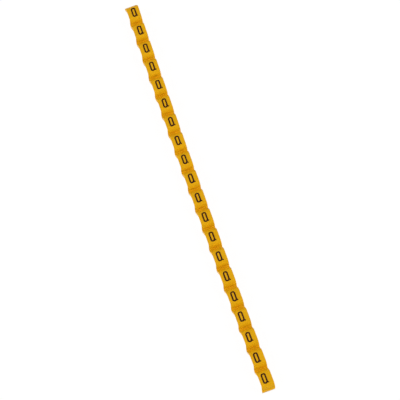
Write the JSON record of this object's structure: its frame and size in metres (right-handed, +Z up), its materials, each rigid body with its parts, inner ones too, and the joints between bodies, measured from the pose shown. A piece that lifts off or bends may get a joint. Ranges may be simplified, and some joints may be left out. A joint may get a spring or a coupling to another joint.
{
  "type": "cable marker strip",
  "caption": "Strip of small clip-on wire markers moulded side by side, with round open wire passages, thin break-off webs and a plain letter printed on each flat crest.",
  "frame": {"origin": "centre of the strip's footprint, on the plane of the markers' feet", "axes": "+Y along the strip towards the top of the letters, +X along the wires towards the letters' right, +Z up out of the printed crests"},
  "size_m": [0.003, 0.08, 0.0028],
  "materials": {
    "yellow_plastic": "satin moulded polyamide",
    "black_print": "thin matt black print"
  },
  "bodies": {
    "root": {"marker_strip": "yellow_plastic", "letter_01": "black_print", "letter_02": "black_print", "letter_03": "black_print", "letter_04": "black_print", "letter_05": "black_print", "letter_06": "black_print", "letter_07": "black_print", "letter_08": "black_print", "letter_09": "black_print", "letter_10": "black_print", "letter_11": "black_print", "letter_12": "black_print", "letter_13": "black_print", "letter_14": "black_print", "letter_15": "black_print", "letter_16": "black_print", "letter_17": "black_print", "letter_18": "black_print", "letter_19": "black_print", "letter_20": "black_print"}
  },
  "joints": []
}
